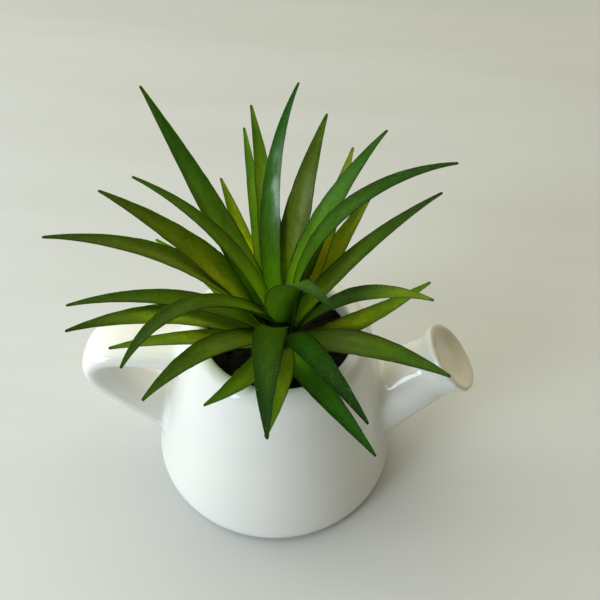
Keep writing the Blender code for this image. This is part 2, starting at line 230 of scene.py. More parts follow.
class LeafSkin:
    """The moulded, hand-tinted skin of a leaf, as a group that follows the blade.

    The blade's own attributes say where a point is on it: "skin" in millimetres over the surface,
    and "blade" as shares of its length and half width, with 1 on the upper face and 0 on the lower.
    They also say how this leaf was finished and lit: "tint_and_painted_light" holds the amounts of
    yellowing and bronzing and the painted light and shade, and "gloss" holds how far its middle is polished.
    """

    SPRAYS = ("Base", "Body", "Tip", "Edge", "Yellow", "Bronze")
    BRIGHTEST_GREEN = 0.60
    FLECK: Colour = (0.32, 0.42, 0.11)

    def __init__(self) -> None:
        """Lay the patterns over the blade and join them up."""
        outputs = dict.fromkeys(("Roughness", "Coat", "Height"), SocketKind.FLOAT)
        self.bench, self.spray, result = new_group(
            "leaf_skin",
            dict.fromkeys(self.SPRAYS, SocketKind.COLOUR),
            {"Color": SocketKind.COLOUR, **outputs},
        )
        bench = self.bench
        skin = bench.attribute("skin", "Vector")
        self.along, self.edge, self.side = bench.split(bench.attribute("blade", "Vector"))
        # the third amount is painted light above 0 and painted shade below 0
        self.yellowing, self.bronzing, self.shade = bench.split(bench.attribute("tint_and_painted_light", "Vector"))
        self.clouds = bench.noise(bench.stretched(skin, (0.30, 0.085, 0.30)), 1.0, 3.0, 0.55)
        self.fibres = bench.noise(bench.stretched(skin, (2.6, 0.22, 2.6)), 1.0, 2.0, 0.6)
        self.grain = bench.noise(skin, 3.4, 3.0, 0.6)
        self.blotches = bench.noise(skin, 0.75, 2.0, 0.65)
        self.specks = bench.ease(bench.noise(skin, 2.1, 1.0, 0.5), 0.68, 0.74)
        self.rim = bench.ease(bench.plus(self.edge, bench.swing(self.blotches, 0.16)), 0.82, 0.96)
        bench.feed(result, {"Color": self.colour(), "Roughness": self.roughness()})
        bench.feed(result, {"Coat": self.coat(), "Height": self.height()})

    def sprayed(self) -> Socket:
        """The sprayed colours.

        Returns:
            Base, body and tip along the blade, yellow and bronze over them, and the dark edges.
        """
        bench, spray = self.bench, self.spray
        reach = bench.plus(self.along, bench.swing(self.clouds, 0.34))
        # the base colour is partly real yellow-green and partly painted light on the crowded bases
        colour = bench.mix(bench.ease(reach, 0.02, 0.40), spray["Base"], spray["Body"])
        colour = bench.mix(bench.ease(reach, 0.45, 1.0), colour, spray["Tip"])
        patchy = bench.ease(self.clouds, 0.30, 0.68, 0.78, 1.0)
        colour = bench.mix(bench.times(self.yellowing, patchy, True), colour, spray["Yellow"])
        colour = bench.mix(bench.times(self.bronzing, patchy, True), colour, spray["Bronze"])
        colour = bench.mix(bench.ease(self.side, 0.4, 0.6, 0.20, 0.0), colour, spray["Base"])
        ragged = bench.times(self.rim, bench.ease(self.clouds, 0.30, 0.58, 0.45, 0.92))
        colour = bench.mix(ragged, colour, spray["Edge"])
        return bench.mix(bench.ease(self.along, 0.965, 1.0, 0.0, 0.6), colour, spray["Edge"])

    def level(self, colour: Socket) -> Socket:
        """How light the skin is, with its painted light and shade, held where its green would reflect more
        than leaf plastic does.

        Args:
            colour: The sprayed colours.

        Returns:
            The factor on them.
        """
        bench = self.bench
        # shade + 1 puts on the leaf's painted light above 0 and painted shade below 0
        level = bench.times(bench.ease(self.fibres, 0.25, 0.75, 0.92, 1.08), bench.plus(self.shade, 1.0))
        for pattern, *levels in (
            (self.grain, 0.25, 0.75, 0.88, 1.14),
            (self.blotches, 0.3, 0.7, 0.92, 1.10),
            (self.clouds, 0.3, 0.7, 0.84, 1.18),
            (self.edge, 0.25, 0.92, 1.16, 0.78),
        ):
            level = bench.times(level, bench.ease(pattern, *levels))
        green = bench.split(colour)[1]
        return bench.math("MINIMUM", level, bench.math("DIVIDE", self.BRIGHTEST_GREEN, green))

    def colour(self) -> Socket:
        """The finished colour.

        Returns:
            The sprayed colours at their level, with pale flecks that gather towards the edges.
        """
        bench = self.bench
        sprayed = self.sprayed()
        grey = bench.add("ShaderNodeCombineColor", dict.fromkeys(range(3), self.level(sprayed)))
        colour = bench.mix(1.0, sprayed, grey.outputs[0], "MULTIPLY")
        flecks = bench.times(self.specks, bench.ease(self.edge, 0.55, 0.95, 0.25, 0.60))
        return bench.mix(flecks, colour, self.FLECK)

    def roughness(self) -> Socket:
        """The roughness, which follows the grain and rises at the rim."""
        grained = self.bench.ease(self.grain, 0.25, 0.75, 0.28, 0.42)
        return self.bench.plus(grained, self.bench.times(self.rim, 0.12))

    def coat(self) -> Socket:
        """The polish.

        Returns:
            How far the middle of the blade is polished, in soft patches.
        """
        bench = self.bench
        middle = bench.times(bench.ease(self.along, 0.15, 0.35), bench.ease(self.along, 0.62, 0.82, 1.0, 0.0))
        return bench.times(bench.times(bench.attribute("gloss"), bench.ease(self.clouds, 0.3, 0.6)), middle)

    def height(self) -> Socket:
        """The relief.

        Returns:
            Grain, lengthwise fibres and specks, with a fine furrow along the midrib.
        """
        bench = self.bench
        rib = bench.times(bench.ease(self.edge, 0.0, 0.16, 1.0, 0.0), bench.ease(self.side, 0.2, 0.8))
        height = bench.plus(bench.times(self.grain, 0.6), bench.times(self.fibres, 0.7))
        height = bench.plus(height, bench.times(self.specks, 0.25))
        return bench.math("SUBTRACT", height, bench.times(rib, 0.35))


class SharedEffects:
    """The shader node groups, each built once and placed in every material that uses it."""

    def __init__(self) -> None:
        """Build the groups."""
        self.mottle = build_mottle()
        self.leaf_skin = LeafSkin().bench.tree

    def mottled(self, bench: NodeBench, place: Socket, scales: Span) -> bpy.types.NodeOutputs:
        """Place the mottle on a material's bench, with the scales of its clouds and its grain."""
        values = {"Vector": place, "Broad scale": scales[0], "Fine scale": scales[1]}
        return bench.group(self.mottle, values)


# ---------------------------------------------------------------- finishes


@dataclass(frozen=True)
class Glaze:
    """White glossy glaze, thick where it pools in the fillets, with painted shade on the rose's dished face.
    """

    name: str = "white_glaze"
    colour: Colour = (0.83, 0.825, 0.80)
    pooled: Colour = (0.80, 0.81, 0.78)
    thin: Colour = (0.86, 0.845, 0.81)
    # painted shade for the rose's dished face, darker and browner than the glaze
    dish_painted_shade: Colour = (0.64, 0.59, 0.49)
    scales: Span = (55.0, 700.0)
    roughness: Span = (0.05, 0.13)
    ior: float = 1.52
    ripple_scale: float = 130.0
    ripple_strength: float = 0.25
    ripple_depth: float = 0.12 * MM

    def build(self, effects: SharedEffects) -> Material:
        """Make the material.

        Args:
            effects: The shared groups.

        Returns:
            The material.
        """
        material, bench, shader = new_material(self.name)
        place = bench.place_coordinates()
        mottle = effects.mottled(bench, place, self.scales)
        colour = bench.mix(bench.ease(mottle["Broad"], 0.3, 0.7), self.colour, self.thin)
        colour = bench.mix(bench.attribute("pool"), colour, self.pooled)
        # painted shade: the dished face of the rose is darkened and browned
        colour = bench.mix(bench.attribute("dish"), colour, self.dish_painted_shade)
        rough = bench.ease(mottle["Fine"], 0.3, 0.7, *self.roughness)
        bench.feed(shader, {"Base Color": colour, "Roughness": rough, "IOR": self.ior})
        ripples = bench.noise(place, self.ripple_scale, 1.0)
        bench.raise_surface(shader, ripples, self.ripple_strength, self.ripple_depth)
        return material


@dataclass(frozen=True)
class PottingMix:
    """Damp dark peat, brown on its raised grains."""

    name: str = "soil"
    dark: Colour = (0.003, 0.0024, 0.0018)
    brown: Colour = (0.010, 0.006, 0.003)
    fibre: Colour = (0.034, 0.020, 0.010)
    scales: Span = (420.0, 2600.0)
    roughness: Span = (0.72, 0.98)
    specular: float = 0.12
    grain_strength: float = 0.9
    grain_depth: float = 0.35 * MM

    def build(self, effects: SharedEffects) -> Material:
        """Make the material.

        Args:
            effects: The shared groups.

        Returns:
            The material.
        """
        material, bench, shader = new_material(self.name)
        mottle = effects.mottled(bench, bench.place_coordinates(), self.scales)
        colour = bench.mix(bench.ease(mottle["Broad"], 0.36, 0.72), self.dark, self.brown)
        colour = bench.mix(bench.times(mottle["Speck"], 0.5), colour, self.fibre)
        rough = bench.ease(mottle["Fine"], 0.3, 0.7, *self.roughness)
        bench.feed(shader, {"Base Color": colour, "Roughness": rough, "Specular IOR Level": self.specular})
        grains = bench.plus(mottle["Broad"], bench.times(mottle["Fine"], 0.5))
        bench.raise_surface(shader, grains, self.grain_strength, self.grain_depth)
        return material


@dataclass(frozen=True)
class StumpSkin:
    """Moulded green stump, browner towards the soil."""

    name: str = "stem"
    green: Colour = (0.060, 0.135, 0.018)
    brown: Colour = (0.055, 0.052, 0.020)
    scar: Colour = (0.018, 0.030, 0.008)
    scales: Span = (260.0, 2400.0)
    roughness: Span = (0.48, 0.66)
    grain_strength: float = 0.5
    grain_depth: float = 0.15 * MM

    def build(self, effects: SharedEffects, soil_level: float, top: float) -> Material:
        """Make the material.

        Args:
            effects: The shared groups.
            soil_level: Height of the soil, where it is brownest.
            top: Height of the stump's top, where it is greenest.

        Returns:
            The material.
        """
        material, bench, shader = new_material(self.name)
        place = bench.place_coordinates()
        mottle = effects.mottled(bench, place, self.scales)
        colour = bench.mix(bench.ease(bench.split(place)[2], soil_level, top), self.brown, self.green)
        colour = bench.mix(bench.ease(mottle["Broad"], 0.52, 0.70, 0.0, 0.6), colour, self.scar)
        rough = bench.ease(mottle["Fine"], 0.3, 0.7, *self.roughness)
        bench.feed(shader, {"Base Color": colour, "Roughness": rough})
        bench.raise_surface(shader, mottle["Fine"], self.grain_strength, self.grain_depth)
        return material


class LeafTone(Enum):
    """The four leaf finishes."""

    DEEP = "leaf_deep"
    MID = "leaf_mid"
    PALE = "leaf_pale"
    OLIVE = "leaf_olive"


@dataclass(frozen=True)
class LeafFinish:
    """Soft moulded leaf plastic, tinted from base to tip, with a little light spreading inside it."""

    tone: LeafTone
    base: Colour
    body: Colour
    tip: Colour
    edge: Colour = (0.016, 0.017, 0.003)
    yellow: Colour = (0.400, 0.370, 0.006)
    bronze: Colour = (0.075, 0.066, 0.003)
    specular: float = 0.045
    coat_roughness: float = 0.30
    spread: float = 0.30
    spread_radius: Triple = (0.5, 1.0, 0.1)
    spread_reach: float = 1.2 * MM
    relief_strength: float = 0.45
    relief_depth: float = 0.12 * MM

    def build(self, effects: SharedEffects) -> Material:
        """Make the material.

        Args:
            effects: The shared groups.

        Returns:
            The material.
        """
        material, bench, shader = new_material(self.tone.value)
        sprays = (self.base, self.body, self.tip, self.edge, self.yellow, self.bronze)
        skin = bench.group(effects.leaf_skin, dict(zip(LeafSkin.SPRAYS, sprays)))
        bench.feed(shader, {
            "Base Color": skin["Color"], "Roughness": skin["Roughness"], "Coat Weight": skin["Coat"],
            "Coat Roughness": self.coat_roughness, "Specular IOR Level": self.specular,
            "Subsurface Weight": self.spread, "Subsurface Radius": self.spread_radius,
            "Subsurface Scale": self.spread_reach,
        })
        bench.raise_surface(shader, skin["Height"], self.relief_strength, self.relief_depth)
        return material


# Base colours: yellow-green leaf bases, lightened further as painted light against the shade where the bases
# crowd round the stump
LEAF_FINISHES = (
    LeafFinish(LeafTone.DEEP, (0.105, 0.275, 0.006), (0.016, 0.083, 0.006), (0.006, 0.044, 0.006)),
    LeafFinish(LeafTone.MID, (0.127, 0.302, 0.006), (0.029, 0.103, 0.006), (0.012, 0.057, 0.006)),
    LeafFinish(LeafTone.PALE, (0.163, 0.330, 0.006), (0.075, 0.176, 0.006), (0.035, 0.101, 0.006)),
    LeafFinish(LeafTone.OLIVE, (0.138, 0.285, 0.006), (0.045, 0.103, 0.006), (0.021, 0.067, 0.006)),
)


@dataclass(frozen=True)
class FloorPaint:
    """Pale matt paint with a faint brushed cloudiness."""

    name: str = "floor_paint"
    light: Colour = (0.600, 0.608, 0.618)
    dark: Colour = (0.572, 0.575, 0.578)
    brushing: Triple = (0.35, 2.2, 1.0)
    scales: Span = (9.0, 160.0)
    roughness: Span = (0.46, 0.58)
    specular: float = 0.3

    def build(self, effects: SharedEffects) -> Material:
        """Make the material.

        Args:
            effects: The shared groups.

        Returns:
            The material.
        """
        material, bench, shader = new_material(self.name)
        place = bench.stretched(bench.place_coordinates(), self.brushing)
        mottle = effects.mottled(bench, place, self.scales)
        colour = bench.mix(bench.ease(mottle["Broad"], 0.3, 0.7), self.light, self.dark)
        rough = bench.ease(mottle["Fine"], 0.3, 0.7, *self.roughness)
        bench.feed(shader, {"Base Color": colour, "Roughness": rough, "Specular IOR Level": self.specular})
        return material


# ---------------------------------------------------------------- shared modelling steps


def smoothstep(share: float) -> float:
    """Ease from 0 to 1 while the share goes from 0 to 1."""
    share = min(max(share, 0.0), 1.0)
    return share * share * (3 - 2 * share)


def eased(value: float, stretch: Span) -> float:
    """Ease from 0 to 1 over a stretch, given by its start and its extent."""
    return smoothstep((value - stretch[0]) / stretch[1])


def heading_vector(turn: float, climb: float) -> Vector:
    """Unit vector on the side turn of +Z and climb above level, both in degrees."""
    turn, climb = math.radians(turn), math.radians(climb)
    return Vector((math.cos(climb) * math.cos(turn), math.cos(climb) * math.sin(turn), math.sin(climb)))


def arc(centre: Point, radius: float, start: float, end: float, steps: int) -> list[Point]:
    """Points along an arc.

    Args:
        centre: The arc's centre.
        radius: Its radius.
        start: First angle, in degrees from the first axis.
        end: Last angle.
        steps: How many parts it has.

    Returns:
        The points, both ends included.
    """
    angles = [math.radians(start + (end - start) * step / steps) for step in range(steps + 1)]
    return [(centre[0] + radius * math.cos(a), centre[1] + radius * math.sin(a)) for a in angles]


def turned(profile: Sequence[Point], facets: int) -> Skin:
    """Spin a profile about +Z into a closed solid.

    Args:
        profile: Points (radius, height) from the axis round to the axis.
        facets: Facets round the axis.

    Returns:
        The solid's skin.
    """
    bm = bmesh.new()
    verts = [bm.verts.new((radius, 0, height)) for radius, height in profile]
    edges = [bm.edges.new(pair) for pair in zip(verts, verts[1:])]
    bmesh.ops.spin(
        bm, geom=verts + edges, cent=(0, 0, 0), axis=(0, 0, 1), angle=math.tau, steps=facets, use_merge=True
    )
    bmesh.ops.remove_doubles(bm, verts=bm.verts[:], dist=MERGE_REACH)
    bmesh.ops.recalc_face_normals(bm, faces=bm.faces[:])
    return bm


def swept(ring: int, stations: int, place: Callable[[int, int], Vector]) -> Skin:
    """Extrude a closed ring from station to station and close both ends.

    Args:
        ring: Points in the ring.
        stations: How many rings there are.
        place: Gives the point of a station and of a number in the ring.

    Returns:
        The skin, whose points carry their numbers in "ring" and "station".
    """
    bm = bmesh.new()
    in_ring = bm.verts.layers.int.new("ring")
    at_station = bm.verts.layers.int.new("station")
    verts = bmesh.ops.create_circle(bm, segments=ring, radius=MM)["verts"]
    for number, vert in enumerate(verts):
        vert[in_ring] = number
        vert.co = place(0, number)
    edges = bm.edges[:]
    bmesh.ops.contextual_create(bm, geom=edges)
    for station in range(1, stations):
        grown = bmesh.ops.extrude_edge_only(bm, edges=edges)["geom"]
        fresh = {item for item in grown if isinstance(item, bmesh.types.BMVert)}
        edges = [
            item for item in grown
            if isinstance(item, bmesh.types.BMEdge) and all(vert in fresh for vert in item.verts)
        ]
        for vert in fresh:
            vert[at_station] = station
            vert.co = place(station, vert[in_ring])
    bmesh.ops.contextual_create(bm, geom=edges)
    bmesh.ops.recalc_face_normals(bm, faces=bm.faces[:])
    return bm


def new_object(name: str, bm: Skin) -> Object:
    """Turn a skin into an object of the scene.

    Args:
        name: The object's name.
        bm: Its skin, which is freed.

    Returns:
        The object, at the origin.
    """
    mesh = bpy.data.meshes.new(name)
    bm.to_mesh(mesh)
    bm.free()
    obj = bpy.data.objects.new(name, mesh)
    bpy.context.scene.collection.objects.link(obj)
    return obj


def bake_modifiers(obj: Object) -> None:
    """Replace an object's mesh by what its modifiers make of it, and remove them.

    Args:
        obj: The object.
    """
    bpy.context.view_layer.update()
    graph = bpy.context.evaluated_depsgraph_get()
    baked = bpy.data.meshes.new_from_object(obj.evaluated_get(graph), depsgraph=graph)
    obj.modifiers.clear()
    spare = obj.data
    obj.data = baked
    bpy.data.meshes.remove(spare)


def settle(obj: Object, material: Material, slot: str, *replaced: str) -> Object:
    """Dress a finished piece and join it to the frame.

    Args:
        obj: The piece, at the origin.
        material: Its finish.
        slot: The material slot it stands for.
        *replaced: The frame's nodes that it stands for.

    Returns:
        The piece.
    """
    obj.data.materials.clear()
    obj.data.materials.append(material)
    obj.data.shade_smooth()
    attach(obj, BODY)
    if replaced:
        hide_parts(*replaced)
    LOG.info("%s: %d faces, %s", obj.name, len(obj.data.polygons), slot)
    return obj


# ---------------------------------------------------------------- planter


@dataclass
class Planter:
    """The glazed planter: a cone with a thick lip, a spout with a dished rose, and a strap handle.

    Points of the handle's line are in millimetres. Angles are in degrees, but the crease at which
    an inward corner counts as a joint is in radians. The mark of painted shade on the dish grows as
    the skin turns to the rose's axis, from a cosine and over an extent.
    """

    height: float = 62 * MM
    foot_radius: float = 41.6 * MM
    foot_rounding: float = 4.8 * MM
    shoulder_radius: float = 29.7 * MM
    shoulder_rounding: float = 4.6 * MM
    mouth_radius: float = 22.9 * MM
    wall: float = 4.6 * MM
    floor: float = 5 * MM
    neck_depth: float = 7 * MM
    neck_slope_rise: float = 5 * MM
    floor_bevel: float = 3 * MM
    facets: int = 160
    arc_steps: int = 12
    spout_start: Vector = field(default_factory=lambda: Vector((22 * MM, 0, 16.8 * MM)))
    spout_rise: float = 46.3
    spout_root_radius: float = 15 * MM
    spout_neck_radius: float = 10 * MM
    spout_neck_at: float = 41 * MM
    spout_facets: int = 96
    flare_steps: int = 8
    rose_radius: float = 12.6 * MM
    rose_at: float = 49.9 * MM
    rose_rounding: float = 1.5 * MM
    rose_undercut: float = 20
    rose_arc_steps: int = 16
    dish_depth: float = 3 * MM
    dish_steps: int = 10
    dish_fullness: int = 4
    dish_margin: float = 1 * MM
    dish_facing: Span = (0.15, 0.6)
    handle_width: float = 19 * MM
    handle_thickness: float = 7.8 * MM
    handle_fullness: float = 2.3
    handle_line: tuple[Point, ...] = (
        (-24, 49), (-38, 50), (-50.5, 50), (-56.5, 48), (-59.5, 43.5),
        (-57.5, 37), (-51.5, 30), (-42.5, 21), (-32.5, 11.5),
    )
    handle_steps: int = 8
    handle_ring: int = 48
    grain_size: float = 0.78 * MM
    joint_crease: float = 0.3
    joint_spacing: float = 0.5 * MM
    fillet_reach: float = 5.5 * MM
    fillet_fullness: float = 1.25
    fillet_passes: int = 54
    polish_passes: int = 8
    smoothing: float = 0.5

    def wall_radius(self, height: float) -> float:
        """Outer radius of the straight wall at a height."""
        rise = self.height - self.shoulder_rounding - self.foot_rounding
        widening = self.shoulder_radius - self.foot_radius
        return self.foot_radius + widening * (height - self.foot_rounding) / rise

    def cavity_line(self, inset: float) -> list[Point]:
        """Points up the inside, from the floor to the neck.

        Args:
            inset: How far the line lies inside the wall.

        Returns:
            Points (radius, height).
        """
        bevel_top = self.floor + self.floor_bevel
        neck_foot = self.height - self.neck_depth
        slope_foot = neck_foot - self.neck_slope_rise
        return [
            (self.wall_radius(self.floor) - self.wall - self.floor_bevel + inset, self.floor - inset),
            (self.wall_radius(bevel_top) - self.wall + inset, bevel_top - inset),
            (self.wall_radius(slope_foot) - self.wall + inset, slope_foot),
            (self.mouth_radius + inset, neck_foot + inset),
        ]

    def body(self) -> Skin:
        """The turned body with its cavity.

        Returns:
            Its skin.
        """
        rise = self.height - self.foot_rounding - self.shoulder_rounding
        lean = math.degrees(math.atan2(self.foot_radius - self.shoulder_radius, rise))
        lip = self.shoulder_radius - self.shoulder_rounding - self.mouth_radius
        shoulder = (self.shoulder_radius - self.shoulder_rounding, self.height - self.shoulder_rounding)
        foot = (self.foot_radius - self.foot_rounding, self.foot_rounding)
        profile = [(0.0, self.floor), *self.cavity_line(0)]
        profile += arc((self.mouth_radius + lip, self.height - lip), lip, 180, 90, self.arc_steps)[:-1]
        profile += arc(shoulder, self.shoulder_rounding, 90, lean, self.arc_steps)
        profile += arc(foot, self.foot_rounding, lean, -90, self.arc_steps)
        return turned([*profile, (0.0, 0.0)], self.facets)

    def core(self) -> Skin:
        """The inside with half the wall added, which the spout and the handle stop at.

        Returns:
            Its skin.
        """
        line = self.cavity_line(self.wall / 2)
        profile = [(0.0, self.height), (line[-1][0], self.height), *line[::-1], (0.0, line[0][1])]
        return turned(profile, self.facets)

    def spout(self) -> Skin:
        """The tapering spout with its dished rose, leaned out from the axis.

        Returns:
            Its skin.
        """
        rim = (self.rose_radius - self.rose_rounding, self.rose_at - self.rose_rounding)
        dish_radius = rim[0] - self.rose_rounding
        dish_bottom = self.rose_at - self.dish_depth
        profile = [(0.0, dish_bottom)]
        for step in range(1, self.dish_steps):
            share = step / self.dish_steps
            rise = (rim[1] - dish_bottom) * share ** self.dish_fullness
            profile.append((dish_radius * share, dish_bottom + rise))
        profile += arc(rim, self.rose_rounding, 180, -self.rose_undercut, self.rose_arc_steps)
        flare = rim[1] - self.spout_neck_at
        for step in reversed(range(self.flare_steps)):
            share = step / self.flare_steps
            widening = (self.rose_radius - self.spout_neck_radius) * share * share
            profile.append((self.spout_neck_radius + widening, self.spout_neck_at + flare * share))
        profile += [(self.spout_root_radius, 0.0), (0.0, 0.0)]
        bm = turned(profile, self.spout_facets)
        lean = Matrix.Rotation(math.pi / 2 - math.radians(self.spout_rise), 4, "Y")
        bmesh.ops.transform(bm, matrix=Matrix.Translation(self.spout_start) @ lean, verts=bm.verts[:])
        return bm

    def handle_path(self) -> list[Vector]:
        """The handle's middle line.

        Returns:
            Points on a smooth curve through the given ones.
        """
        points = [Vector((x * MM, 0, z * MM)) for x, z in self.handle_line]
        ends = [2 * points[0] - points[1], *points, 2 * points[-1] - points[-2]]
        line = []
        for before, start, end, after in zip(ends, ends[1:], ends[2:], ends[3:]):
            curve = 2 * before - 5 * start + 4 * end - after
            twist = 3 * start - before - 3 * end + after
            for step in range(self.handle_steps):
                t = step / self.handle_steps
                line.append(start + 0.5 * ((end - before) * t + curve * t ** 2 + twist * t ** 3))
        return [*line, points[-1]]

    def handle(self) -> Skin:
        """The strap handle, a flattened oval in section.

        Returns:
            Its skin.
        """
        outline = []
        for number in range(self.handle_ring):
            angle = 2 * math.pi * number / self.handle_ring
            x, y = math.cos(angle), math.sin(angle)
            wide = math.copysign(abs(x) ** (2 / self.handle_fullness), x)
            thick = math.copysign(abs(y) ** (2 / self.handle_fullness), y)
            outline.append((wide * self.handle_width / 2, thick * self.handle_thickness / 2))
        line = self.handle_path()
        across = Vector((0, 1, 0))

        def place(station: int, number: int) -> Vector:
            """Point of a section on the path.

            Args:
                station: The section's number along the path.
                number: The point's number in the section.

            Returns:
                The point.
            """
            ahead = line[min(station + 1, len(line) - 1)]
            along = (ahead - line[max(station - 1, 0)]).normalized()
            wide, thick = outline[number]
            return line[station] + across * wide + along.cross(across) * thick

        return swept(len(outline), len(line), place)

    def joints(self, mesh: bpy.types.Mesh) -> list[Vector]:
        """Points on the inward corners where spout and handle meet the wall.

        Args:
            mesh: The sharp joined solid.

        Returns:
            The points, a fraction of a millimetre apart.
        """
        bm = bmesh.new()
        bm.from_mesh(mesh)
        found = []
        for edge in bm.edges:
            first, second = (vert.co for vert in edge.verts)
            middle = (first + second) / 2
            outside = middle.xy.length > self.wall_radius(middle.z) - self.wall / 2
            if len(edge.link_faces) == 2 and outside and edge.calc_face_angle_signed(0) < -self.joint_crease:
                parts = max(1, round((second - first).length / self.joint_spacing))
                found += [first.lerp(second, part / parts) for part in range(parts + 1)]
        bm.free()
        return found

    def build(self, material: Material) -> Object:
        """Join the solids, soften their joints as glaze and slip do, and dress the planter.

        Args:
            material: The glaze.

        Returns:
            The planter.
        """
        planter = new_object("planter", self.body())
        core = new_object("planter_core", self.core())
        limbs = [new_object("spout", self.spout()), new_object("handle", self.handle())]
        for limb in limbs:
            for owner, label, operation, other in (
                (limb, "Trim", "DIFFERENCE", core), (planter, "Join", "UNION", limb),
            ):
                joint = owner.modifiers.new(label, "BOOLEAN")
                joint.operation = operation
                joint.object = other
        bake_modifiers(planter)
        for helper in (core, *limbs):
            bpy.data.objects.remove(helper)

        points = self.joints(planter.data)
        remesh = planter.modifiers.new("Even skin", "REMESH")
        remesh.mode = "VOXEL"
        remesh.voxel_size = self.grain_size
        bake_modifiers(planter)
        self.soften(planter, points)
        self.paint_dish_shade(planter.data)
        return settle(planter, material, "white_glaze", "pot")

    def paint_dish_shade(self, mesh: bpy.types.Mesh) -> None:
        """Mark the dished face of the rose, where a darker, browner colour is painted as shade.

        Args:
            mesh: The planter's finished mesh.
        """
        axis = heading_vector(0, self.spout_rise)
        dish_bottom = self.rose_at - self.dish_depth - self.dish_margin
        weights = []
        for vert in mesh.vertices:
            on_face = (vert.co - self.spout_start).dot(axis) > dish_bottom
            weights.append(eased(vert.normal.dot(axis), self.dish_facing) if on_face else 0.0)
        mesh.attributes.new("dish", "FLOAT", "POINT").data.foreach_set("value", weights)

    def soften(self, planter: Object, points: Sequence[Vector]) -> None:
        """Round the joints into fillets, polish the rest, and mark where the glaze pools.

        Args:
            planter: The evenly meshed planter.
            points: Points on the sharp joints.
        """
        tree = kdtree.KDTree(len(points))
        for number, point in enumerate(points):
            tree.insert(point, number)
        tree.balance()
        fillet = planter.vertex_groups.new(name="fillet")
        nearness = [1 - tree.find(vert.co)[2] / self.fillet_reach for vert in planter.data.vertices]
        weights = [smoothstep(self.fillet_fullness * share) for share in nearness]
        for number, weight in enumerate(weights):
            if weight > 0:
                fillet.add([number], weight, "REPLACE")
        pool = planter.data.attributes.new("pool", "FLOAT", "POINT")
        pool.data.foreach_set("value", weights)
        for name, passes, group in (
            ("Fillet", self.fillet_passes, fillet.name), ("Polish", self.polish_passes, ""),
        ):
            smooth = planter.modifiers.new(name, "SMOOTH")
            smooth.factor = self.smoothing
            smooth.iterations = passes
            smooth.vertex_group = group
        bake_modifiers(planter)
        planter.vertex_groups.clear()


# ---------------------------------------------------------------- potting mix


